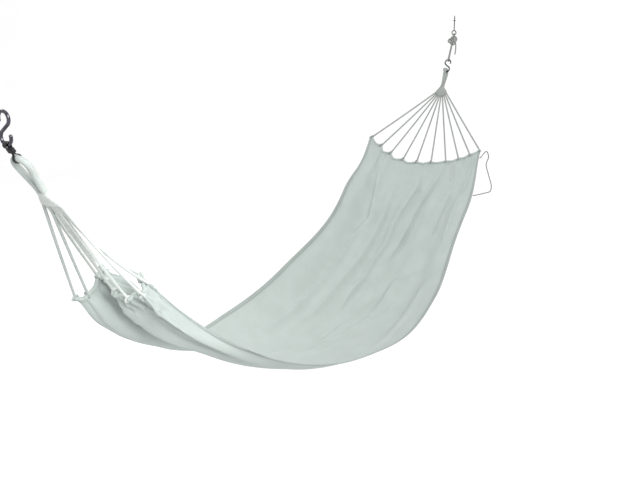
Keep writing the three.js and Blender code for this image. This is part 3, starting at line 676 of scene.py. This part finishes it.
def near_gathers(u, v):
    """The gathered end: puckers at the hem, a few long creases, and a lobe that fills the mouth."""
    cord = cord_number(v)
    turn = 2 * math.pi
    drift = 0.22 * wander(v * 7, 1.0) * smoothstep(u, 0.01, 0.15)
    body = np.cos(turn * (cord + 0.5 + drift)) * mix(PUCKER_AT_HEM, PUCKER_BEHIND, smoothstep(u, 0, 0.03))
    body = body * (1 - smoothstep(u, *PUCKER_FADE)) * (1 + 0.35 * wander(v * 9, 0.3))
    fine = FINE_PUCKER * np.cos(turn * (2.5 * cord + 0.5 * wander(u * 70, 2.0))) * fade_out(u, FINE_REACH)
    tail = LONG_FOLD * np.cos(turn / 2 * (cord * 0.9 + 0.6 * wander(u * 9, 0.7)))
    tail = tail * smoothstep(u, *LONG_START) * fade_out(u, LONG_REACH)
    crush = CRUSH * wander(u * 150 + v * 30, 3.0) * wander(v * 36 - u * 60, 5.0)
    crush = crush * fade_out(u, np.where(v < 0, *CRUSH_REACHES))
    height = (body + fine + tail + crush) * (1 - CALM * smoothstep(v, *CALM_FROM))
    fill = MOUTH_FILL * bell((v - FILL_AT) / FILL_BREADTH)
    height = height + fill * smoothstep(u, *FILL_START) * fade_out(u, FILL_REACH)
    for one in NEAR_CREASES:
        height = height + crease(u, v, *one)
    return height * smoothstep(1 - np.abs(v), 0, 0.05)


def relief(u, v):
    """How far the folds stand towards the sleeper, in millimetres."""
    height = near_gathers(u, v)
    for one in PLEATS:
        height = height + pleat(u, v, *one)
    half = stations(HALF_CHORDS, u)
    for at, depth, length in FAR_PULLS:
        width = PULL_WIDTH + PULL_SPREAD * np.maximum(1 - u, 0) * length**0.5
        height = height + depth * bell((v - at) * half / width) * fade_out(1 - u, length)
    slack = smoothstep(u, *SLACK_FROM) * (1 - smoothstep(u, *SLACK_TO))
    height = height + BROAD_WRINKLE * slack * wander(v * 8.5 + u * 3.0, 1.7)
    crossed = wander(u * 21 + v * 2.0, 4.2) * wander(v * 5.0 - u * 2, 0.4)
    height = height + CROSSED_WRINKLE * slack * crossed
    return height + FINE_WRINKLE * wander(v * 37 + u * 11, 2.6) * wander(u * 53 - v * 5, 1.2)


def stairs(v):
    """The far hem hangs in uneven steps between its cords, steepest under the +Y one of each pair."""
    share = np.clip(cord_number(v) - np.floor(cord_number(v)), 0, 1)
    return np.where(np.abs(v) < CORD_SPREAD, gap_value(FAR_STAIRS, v) * np.sin(math.pi * share**3), 0)


def cloth_point(u, v):
    """A place of the bed with all its folds."""
    u, v = np.broadcast_arrays(np.asarray(u, float), np.asarray(v, float))
    s = mix(end_of_bed(0, v), end_of_bed(1, v), u) - stairs(v) * (1 - smoothstep(1 - u, 0, STAIRS_REACH))
    across, inward = section_at(u, v)
    at, _, normal = line_at(s)
    ear = EAR * smoothstep(v, EAR_FROM, 1) * fade_out(1 - u, EAR_REACH)
    belly = BELLY * smoothstep(v, BELLY_FROM, 1)
    belly = belly * smoothstep(u, *BELLY_START) * (1 - smoothstep(u, *BELLY_END))
    base = at + (across + ear)[..., None] * ACROSS + (inward - belly)[..., None] * normal
    return base + bed_normal(u, v) * relief(u, v)[..., None]


# Bed: rows lie closer together towards its two ends, and its edges end just inside the hems
BED_ROWS, BED_COLUMNS, ROW_CROWDING = 340, 300, 0.11
CLOTH = 1.3
END_INSET, SIDE_INSET = 0.0012, 0.0015
FLAT_HALF = 400  # half the breadth that the weave is laid out over
BACK_SHIFT = 5  # the back of the cloth has its own part of the weave's noise

even = np.linspace(0, 1, BED_ROWS + 1)
bed_rows = even - ROW_CROWDING * np.sin(2 * math.pi * even)


def grid_faces(rows, columns, offset=0, flip=False):
    i, j = np.meshgrid(np.arange(rows), np.arange(columns), indexing="ij")
    a = i * (columns + 1) + j + offset
    quads = np.stack([a, a + columns + 1, a + columns + 2, a + 1], -1).reshape(-1, 4)
    return quads[:, ::-1] if flip else quads


def bed_sheet():
    """A closed cloth of even thickness, shaped on rows of u and columns of v."""
    rows, columns = BED_ROWS, BED_COLUMNS
    u, v = np.meshgrid(np.clip(bed_rows, END_INSET, 1 - END_INSET),
                       np.linspace(-1, 1, columns + 1) * (1 - SIDE_INSET), indexing="ij")
    middle = cloth_point(u, v)
    normal = unit(np.cross(np.gradient(middle, axis=0), np.gradient(middle, axis=1)))
    top = (middle + normal * CLOTH / 2).reshape(-1, 3)
    low = (middle - normal * CLOTH / 2).reshape(-1, 3)
    count = len(top)
    faces = [*grid_faces(rows, columns), *grid_faces(rows, columns, count, True)]
    for i in range(rows):
        a, b = i * (columns + 1), (i + 1) * (columns + 1)
        faces.append((a, a + count, b + count, b))
        faces.append((a + columns, b + columns, b + columns + count, a + columns + count))
    last = rows * (columns + 1)
    for j in range(columns):
        faces.append((j, j + 1, j + 1 + count, j + count))
        faces.append((last + j, last + j + count, last + j + 1 + count, last + j + 1))
    made = piece("bed_cloth", np.vstack([top, low]), faces, canvas, slot="canvas", replaces=["bed_canvas"])
    flat = np.stack([v.ravel() * FLAT_HALF, u.ravel() * BED_LENGTH, np.zeros(count)], -1)
    flat_places(made, np.vstack([flat, flat + [0, 0, BACK_SHIFT]]))
    return made


bed = bed_sheet()

# Side hems: the selvedge turned over
SIDE_HEM_WIDTH, GATHERED_HEM_WIDTH, SIDE_HEM_THICKNESS = 14, 7, 3.6
HEM_CORNER = [(0, 0.3), (0.06, 0.75), (0.2, 1), (0.6, 1), (0.9, 0.95), (1, 0.5)]
HEM_OUTLINE = HEM_CORNER + [(w, -t) for w, t in reversed(HEM_CORNER)]  # shares of width and half thickness


def side_hem(name, side, replaced):
    u = bed_rows[1:-1]
    width = mix(SIDE_HEM_WIDTH, GATHERED_HEM_WIDTH, fade_out(u, NEAR_GATHER))
    share = width / np.linalg.norm(across_bed(u, np.full_like(u, side * 0.9)), axis=-1)
    rings = []
    for w, t in HEM_OUTLINE:
        v = side * (1 - share * w)
        rings.append(cloth_point(u, v) + bed_normal(u, v) * (t * SIDE_HEM_THICKNESS / 2))
    sides = len(HEM_OUTLINE)
    caps = [tuple(range(sides)), tuple(range(len(u) * sides - 1, (len(u) - 1) * sides - 1, -1))]
    faces = ring_faces(len(u), sides)
    faces = [f[::-1] for f in faces] + caps if side > 0 else faces + [c[::-1] for c in caps]
    made = piece(name, np.stack(rings, 1), faces, side_hem_shaded_canvas, slot="canvas", replaces=[replaced])
    inside = side * (FLAT_HALF - SIDE_HEM_WIDTH * np.array([w for w, _ in HEM_OUTLINE]))
    flat = np.stack(np.broadcast_arrays(inside[None], (u * BED_LENGTH)[:, None], np.zeros(1)), -1)
    flat_places(made, flat.reshape(-1, 3))
    return made


right_hem = side_hem("right_hem_cloth", -1, "right_side_hem")
left_hem = side_hem("left_hem_cloth", 1, "left_side_hem")

# End hems: canvas tunnels drawn along their ropes
END_HEM_STEPS, END_HEM_SIDES, END_HEM_PUCKER = 361, 16, 0.05


def end_hem(name, u):
    v = np.linspace(-1, 1, END_HEM_STEPS)
    path = cloth_point(np.full_like(v, u), v)
    pucker = 1 + END_HEM_PUCKER * np.sin(v * 97) * np.sin(v * 31 + 1)
    points, faces = swept(path, END_HEM_RADIUS * pucker, END_HEM_SIDES)
    made = piece(name + "_cloth", points, faces, canvas, slot="canvas", replaces=[name])
    around = np.arange(END_HEM_SIDES) * 2 * END_HEM_RADIUS * math.pi / END_HEM_SIDES
    along = u * BED_LENGTH + np.tile(around, len(v))
    flat = np.stack([np.repeat(v * FLAT_HALF, END_HEM_SIDES), along, np.zeros(len(along))], -1)
    flat_places(made, np.vstack([flat, flat[:1], flat[-1:]]))
    return made


near_hem = end_hem("near_end_hem", 0.0)
far_hem = end_hem("far_end_hem", 1.0)

# Cords: three strands each, a loop round the rope in the hem, and a seizing that closes it
CORD_STRANDS = dict(twist=0.38, lobes=3, lobe_depth=0.26)
CORD_OUTSIDE = CORD_DIAMETER / 2 + 0.25  # over the crowns of the strands
NEAR_BULK, FAR_BULK = 0.3, 0.45  # the photograph's cords look a little thicker
CORD_START, CORD_END, CORD_STEP = 1.5, 1, 1.5  # from the clew's row, from the loop, and between points
LOOP_RADIUS = END_HEM_RADIUS + CORD_DIAMETER / 2 + GAP
LOOP_THINNER, LOOP_LEAN = 0.2, 1.6
SEIZING_FROM, SEIZING_LENGTH = LOOP_RADIUS + 2, 11
SEIZING_STEP, SEIZING_PITCH = 0.35, 1.6
SEIZING_UNDER, SEIZING_RISE = 0.7, 0.3
EDGE_STEP = 0.004  # in v, to find the direction of the hem's edge
NEAR_SLACK = [16, 13, 7, 4, 1.5, 1.5, 1.5, 1.5, 1.5, 3]  # how far each cord hangs below a straight line
FAR_SLACK = [1.5] * CORDS


def row_place(held_by, across):
    """A place in the row where the cords leave the clew."""
    down = CLEW_LENGTH + held_by["point"] * (1 - (across / CLEW_HALF) ** 2)
    return held_by["at"] - held_by["out"] * down + ACROSS * across


def stretched_cord(label, start, hem, edge, slack, outside, paint):
    way = unit(start - hem)
    edge = unit(edge - way * np.dot(edge, way))
    line = resample([start + way * CORD_START, hem + way * (LOOP_RADIUS + CORD_END)], CORD_STEP)
    line = line + DOWN * (np.sin(np.linspace(0, math.pi, len(line))) * slack)[:, None]
    turn = np.linspace(0, 2 * math.pi, 40)[:, None]
    loop = hem + LOOP_RADIUS * (way * np.cos(turn) + np.cross(edge, way) * np.sin(turn))
    loop = loop + edge * LOOP_LEAN * np.sin(turn / 2)
    seizing = resample([hem + way * SEIZING_FROM, hem + way * (SEIZING_FROM + SEIZING_LENGTH)], SEIZING_STEP)
    wrap = np.abs(np.sin(math.pi * np.arange(len(seizing)) * SEIZING_STEP / SEIZING_PITCH))
    points, faces = together(
        swept(line, outside, sides=15, **CORD_STRANDS),
        swept(loop, CORD_DIAMETER / 2 - LOOP_THINNER, sides=12, **CORD_STRANDS),
        swept(seizing, CORD_DIAMETER / 2 + SEIZING_UNDER + SEIZING_RISE * wrap, sides=14),
    )
    piece(label + "_strands", points, faces, paint, slot="cotton", replaces=[label])


def cords(end_name, held_by, u, paints, slack, outside):
    """The cords of one end. They leave the clew in the order in which they reach the hem from -Y to +Y."""
    v = CORD_SPREAD * (2 * np.arange(CORDS) / (CORDS - 1) - 1)
    u = np.full_like(v, u)
    hems = cloth_point(u, v)
    edges = unit(cloth_point(u, v + EDGE_STEP) - cloth_point(u, v - EDGE_STEP))
    places = np.argsort(np.argsort(section_at(u, v)[0], kind="stable"))
    for i, place in enumerate(places):
        start = row_place(held_by, (place - (CORDS - 1) / 2) * CORD_PITCH)
        stretched_cord(f"{end_name}_cord_{i + 1}", start, hems[i], edges[i], slack[i], outside, paints[i])


cords("near", near, 0.0, [cotton] * 8 + [served] * 2, NEAR_SLACK, CORD_OUTSIDE + NEAR_BULK)
# The far cords take the darker copy of the cord cotton: painted shade.
cords("far", far, 1.0, [far_cotton_shaded] * CORDS, FAR_SLACK, CORD_OUTSIDE + FAR_BULK)

# Eyes: a served strand each
EYE_LEG = (EYE_STRAND + GAP) / 2
EYE_STEP, SERVING_PITCH, SERVING_DEPTH = 0.55, 2.2, 0.45


def eye(name, held_by, wide, paint):
    """Two straight legs, two slanted sides and a round top."""
    centre = EYE_LENGTH - EYE_BEND
    slope = math.atan2(EYE_BEND - EYE_LEG, centre - EYE_STRAIGHT)
    top_of_slant = (EYE_BEND * math.cos(slope), centre - EYE_BEND * math.sin(slope))
    side = [(EYE_LEG, EYE_STRAIGHT * f) for f in (0, 0.5, 1)]
    side += [(mix(EYE_LEG, top_of_slant[0], f), mix(EYE_STRAIGHT, top_of_slant[1], f)) for f in (0.35, 0.7)]
    side += [(EYE_BEND * math.cos(math.radians(a)), centre + EYE_BEND * math.sin(math.radians(a)))
             for a in range(0, 90, 18)]
    outline = side + [(0, EYE_LENGTH)] + [(-w, o) for w, o in reversed(side)]
    path = smooth_path([held_by["at"] + wide * w + held_by["out"] * o for w, o in outline], EYE_STEP)
    wrap = np.abs(np.sin(math.pi * np.arange(len(path)) * EYE_STEP / SERVING_PITCH))
    points, faces = swept(path, EYE_STRAND / 2 - SERVING_DEPTH + SERVING_DEPTH * wrap, sides=28)
    piece(name + "_serving", points, faces, paint, slot="cotton", replaces=[name])


eye("near_eye", near, ACROSS, served)
eye("far_eye", far, far["inward"], far_cotton_shaded)

# Clews: a wedge woven over and under the ten cords that run through it
CLEW_RINGS, CLEW_SIDES = 64, 96
WEFT_PITCH = 4.6
WARP_BULGE, WEAVE_DEPTH, WEAVE_UNDER = 0.55, 0.9, 0.5
FAR_CLEW_LONGER = 9


def clew(name, held_by, legs, paint, longer):
    """Its rings change from the eye's two legs to the flat row of cords."""
    row = np.array([CLEW_HALF, CLEW_THICKNESS / 2])
    angle = 2 * math.pi * (np.arange(CLEW_SIDES) + 0.5) / CLEW_SIDES
    aside = np.cos(angle)
    height = np.sign(np.sin(angle)) * (1 - aside**4) ** 0.25  # flatter than a circle
    warp = (aside + 1) / 2 * CORDS
    rings = []
    for f in np.linspace(0, 1, CLEW_RINGS):
        widened = float(smoothstep(f, 0, 1))
        half_width, half_depth = mix(legs, row, widened)
        weft = f * (CLEW_LENGTH + held_by["point"] * 0.6) / WEFT_PITCH
        over = np.cos(math.pi * np.floor(warp)) * np.sin(math.pi * weft)
        bulge = WARP_BULGE * np.abs(np.sin(math.pi * warp)) * (1 + WEAVE_DEPTH * over) - WEAVE_UNDER
        down = GAP + (CLEW_LENGTH - GAP) * f + (held_by["point"] + longer) * widened * (1 - aside**2)
        rings.append(held_by["at"] - held_by["out"] * down[:, None]
                     + ACROSS * ((half_width + bulge * np.abs(aside) ** 3) * aside)[:, None]
                     + held_by["inward"] * ((half_depth + bulge) * height)[:, None])
    points = np.vstack([*rings, rings[0].mean(0), rings[-1].mean(0)])
    faces = tube_faces(CLEW_RINGS, CLEW_SIDES)
    if np.dot(np.cross(ACROSS, held_by["inward"]), held_by["out"]) > 0:
        faces = [f[::-1] for f in faces]
    piece(name + "_weave", points, faces, paint, slot="cotton", replaces=[name])


clew("near_clew", near, np.array([EYE_STRAND / 2 + EYE_LEG, EYE_STRAND / 2]), cotton, 0)
clew("far_clew", far, np.array([EYE_STRAND / 2, EYE_STRAND / 2 + EYE_LEG]), far_cotton_shaded, FAR_CLEW_LONGER)

# S-hooks, with rounded tips
HOOK_STEP = 0.8
TIP_PLACES, TIP_RADII = np.cos(np.radians([0, 22, 45, 68])), np.sin(np.radians([6, 22, 45, 68]))


def s_hook(name, foot, up, side):
    middle = HOOK_HEIGHT / 2 - HOOK_BEND
    turn = 270 - math.degrees(math.acos(HOOK_BEND / middle))
    half = [(HOOK_BEND * math.cos(math.radians(a)), middle + HOOK_BEND * math.sin(math.radians(a)))
            for a in [*np.arange(-HOOK_TIP, turn, 6), turn]]
    outline = half + [(0, 0)] + [(-p, -q) for p, q in reversed(half)]
    path = smooth_path([foot + side * p + up * (q + HOOK_HEIGHT / 2) for p, q in outline], HOOK_STEP)
    ways = unit(np.gradient(path, axis=0))
    places = TIP_PLACES[:, None] * HOOK_ROD / 2
    path = np.vstack([path[0] - ways[0] * places, path, path[-1] + ways[-1] * places[::-1]])
    shares = np.concatenate([TIP_RADII, np.ones(len(ways)), TIP_RADII[::-1]])
    points, faces = swept(path, HOOK_ROD / 2 * shares, sides=24)
    piece(name + "_rod", points, faces, chrome, slot="chrome", replaces=[name])


s_hook("near_s_hook", near_hook_foot, near_hook_up, ACROSS)
s_hook("far_s_hook", far_hook_foot, far_hook_up, -ACROSS)

# Hanging rope: a bight round the far hook, one round the anchor's ring, and the knot on both. The knot
# is bigger than the solid's and hangs a little lower, as in the photograph.
KNOT_GROWTH, KNOT_BREADTH, KNOT_TALL, KNOT_DROP = 1.14, 1.25, 1.28, 5
KNOT_POINTS, KNOT_WINDINGS, KNOT_LOOPS = 160, 2, 3


def bight(middle, radius, towards):
    """A loop of rope from the knot round a bar and back, in two legs that touch."""
    leg = ROPE / 2
    route = [rope_point(knot_at, leg)]
    for a in np.radians(np.arange(0, 181, 22.5)):
        route.append(rope_point(middle + towards * radius * math.sin(a), radius * math.cos(a)))
    route.append(rope_point(knot_at, -leg))
    return smooth_path(route, ROPE_STEP)


def knot():
    radius = KNOT_RADIUS * KNOT_GROWTH
    u = np.linspace(0, KNOT_WINDINGS * 2 * math.pi, KNOT_POINTS, endpoint=False)
    v = KNOT_LOOPS / KNOT_WINDINGS * u
    out = radius * (2 + np.cos(v)) * 0.5
    across, along, aside = out * np.cos(u), out * np.sin(u), radius * np.sin(v) * 0.5
    path = (
        rope_point(knot_at - KNOT_DROP, 0)
        + across[:, None] * KNOT_BREADTH * ACROSS
        + along[:, None] * KNOT_TALL * rope_way
        + aside[:, None] * np.cross(ACROSS, rope_way)
    )
    return np.vstack([path, path[:1]])


points, faces = together(
    swept(bight(0, (HOOK_ROD + ROPE) / 2 + 2 * GAP, -1), ROPE / 2, sides=15, **ROPE_STRANDS),
    swept(bight(ROPE_REACH, (RING_WIRE + ROPE) / 2 + 2 * GAP, 1), ROPE / 2, sides=15, **ROPE_STRANDS),
    swept(knot(), KNOT_TURN / 2, sides=18, **ROPE_STRANDS),
)
piece("hang_rope_strands", points, faces, hang_cotton, slot="cotton", replaces=["hang_rope"])

# Webbing strap: round the hook's rod, both layers sewn together below it, and round the eye's strand
STRAP_LAYER, LAYER_GAP, STRAP_STEM, STRAP_STEP = 1.8, 0.15, 5.0, 0.6
EYE_CLEARANCE = 0.4
STITCHES_FROM, STITCHES_TO, STITCH_PITCH = 7.5, 14.5, 1.35  # from the rod of the hook, along the strap
STITCH_HALF_WIDTH, STITCH_HALF_HEIGHT, STITCH_RADIUS = 6.7, 3.6, 0.85
STRAP_RIBS = [(-1, -0.5), (-0.92, -1), (-0.6, -0.8), (-0.3, -1), (0, -0.8), (0.3, -1), (0.6, -0.8),
              (0.92, -1), (1, -0.5)]
STRAP_PROFILE = STRAP_RIBS + [(w, -t) for w, t in reversed(STRAP_RIBS)]  # shares of width and half thickness


def bend_clearance(bend, rod, width):
    """How far flat webbing of a width stays off the inside of a bent rod."""
    return bend - math.sqrt((bend - rod / 2) ** 2 - (width / 2) ** 2) + GAP


def strap():
    """A closed band: places along the strap, aside of its middle, and its width there."""
    at_hook = bend_clearance(HOOK_BEND, HOOK_ROD, STRAP_PINCHED) + STRAP_THICKNESS / 2
    at_eye = EYE_STRAND / 2 + EYE_CLEARANCE + STRAP_LAYER / 2
    half = STRAP_LAYER / 2 + LAYER_GAP
    over_rod = [(STRAP_REACH + at_hook * math.cos(a), at_hook * math.sin(a), STRAP_PINCHED)
                for a in np.radians(np.arange(-100, 101, 20))]
    down = [
        (STRAP_REACH - 5.0, 3.0, 9.5),
        (STRAP_REACH - 8.0, half, STRAP_WIDTH),
        (STRAP_REACH - 12.5, half, STRAP_WIDTH),
        (STRAP_REACH - 16.5, half, STRAP_STEM + 1),
        (at_eye + 3.2, half + 0.3, STRAP_STEM),
        (at_eye - 0.6, 3.6, STRAP_STEM),
    ]
    foot = [(at_eye * math.cos(a), at_eye * math.sin(a), STRAP_STEM)
            for a in np.radians(np.arange(50, 311, 26))]
    up = [(q, -p, w) for q, p, w in reversed(down)]
    closed = smooth_path(over_rod + down + foot + up, STRAP_STEP, closed=True)[:-1]
    ways = unit((np.roll(closed, -1, axis=0) - np.roll(closed, 1, axis=0))[:, :2])
    rings = []
    for (q, p, width), (way_q, way_p) in zip(closed, ways):
        outward = strap_normal * -way_q + strap_way * way_p
        rings.append([near_eye_top + strap_way * q + strap_normal * p + ACROSS * (w * width / 2)
                      + outward * (t * STRAP_LAYER / 2) for w, t in STRAP_PROFILE])
    return np.array(rings).reshape(-1, 3), ring_faces(len(rings), len(STRAP_PROFILE), closed=True)


def stitches():
    """The bar of thick stitches that holds the two layers together."""
    turn = np.linspace(0, 2 * math.pi, 33)[:-1, None]
    c, s = np.cos(turn), np.sin(turn)
    wrap = (
        ACROSS * (STITCH_HALF_WIDTH * np.sign(c) * np.abs(c) ** 0.4)
        + strap_normal * (STITCH_HALF_HEIGHT * np.sign(s) * np.abs(s) ** 0.6)
    )
    wrap = np.vstack([wrap, wrap[:1]])
    places = np.arange(STRAP_REACH - STITCHES_TO, STRAP_REACH - STITCHES_FROM, STITCH_PITCH)
    return together(*(swept(near_eye_top + strap_way * q + wrap, STITCH_RADIUS, sides=8) for q in places))


piece("near_strap_webbing", *together(strap(), stitches()), webbing,
      slot="webbing", replaces=["near_strap_loop"])

# The anchor screw keeps its solid's shape and gets a finished material
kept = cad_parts["anchor_screw_eye"]
kept.data.materials.clear()
kept.data.materials.append(dark_steel)

# Floor: a plain sheet that bends up behind the hammock, square to the camera, in the frame's metres
FLOOR_MIDDLE, FLOOR_HEIGHT = -1.1, -1.55
FLOOR_HALF_WIDTH = 9.0
FLOOR_FRONT, FLOOR_BACK, FLOOR_BEND, FLOOR_TOP = -4.5, 6.5, 1.5, 7.0
FRONT_PALENESS, BACK_PALENESS = 0.8, 0.97
PALENESS_CHANGES = (-1.5, -0.15)  # from the front value to the back one, between these places


def backdrop():
    outline = [(FLOOR_FRONT, 0.0), (PALENESS_CHANGES[0], 0.0), (PALENESS_CHANGES[1], 0.0)]
    for a in np.radians(np.linspace(0, 90, 13)):
        outline.append((FLOOR_BACK - FLOOR_BEND * (1 - math.sin(a)), FLOOR_BEND * (1 - math.cos(a))))
    outline.append((FLOOR_BACK, FLOOR_TOP))
    turn = math.radians(90 + CAMERA_TURN[2])
    c, s = math.cos(turn), math.sin(turn)
    points = [(FLOOR_MIDDLE + f * c - w * s, f * s + w * c, FLOOR_HEIGHT + h)
              for f, h in outline for w in (-FLOOR_HALF_WIDTH, FLOOR_HALF_WIDTH)]
    faces = [(2 * i, 2 * i + 1, 2 * i + 3, 2 * i + 2) for i in range(len(outline) - 1)]
    mesh = bpy.data.meshes.new("floor")
    mesh.from_pydata(points, [], faces)
    mesh.polygons.foreach_set("use_smooth", [True] * len(faces))
    paint, nodes, links, shader = material("floor_paint")
    layer = mesh.attributes.new("paleness", "FLOAT", "POINT")
    layer.data.foreach_set("value", [FRONT_PALENESS] * 4 + [BACK_PALENESS] * (len(points) - 4))
    pale = node(nodes, "ShaderNodeAttribute", attribute_name="paleness")
    links.new(pale.outputs["Fac"], shader.inputs["Base Color"])
    set_inputs(shader, Roughness=0.9)
    mesh.materials.append(paint)
    in_scene("floor", mesh)


backdrop()

# Light: a white world, a close lamp on the near end, a broad fill and a raking lamp for the folds
world = bpy.data.worlds.new("studio")
world.use_nodes = True
world.node_tree.nodes["Background"].inputs["Color"].default_value = (1, 1, 1, 1)
world.node_tree.nodes["Background"].inputs["Strength"].default_value = 1.0
bpy.context.scene.world = world
bpy.context.scene.view_settings.view_transform = "Standard"


def area_light(name, at, towards, size, power, spread=180):
    light = bpy.data.lights.new(name, "AREA")
    light.spread = math.radians(spread)
    light.size = size
    light.energy = power
    made = in_scene(name, light)
    made.location = at
    made.rotation_euler = (Vector(towards) - Vector(at)).to_track_quat("-Z", "Y").to_euler()


area_light("key", (-2.75, -1.5, 0.5), (-2.15, 0, -0.42), 1.0, 4.6, 52)
area_light("fill", (-1.7, -2.0, 1.3), (-0.75, 0, -0.6), 1.2, 32)
area_light("raking", (-0.9, 2.6, 1.3), (-0.8, 0, -0.7), 0.6, 26)
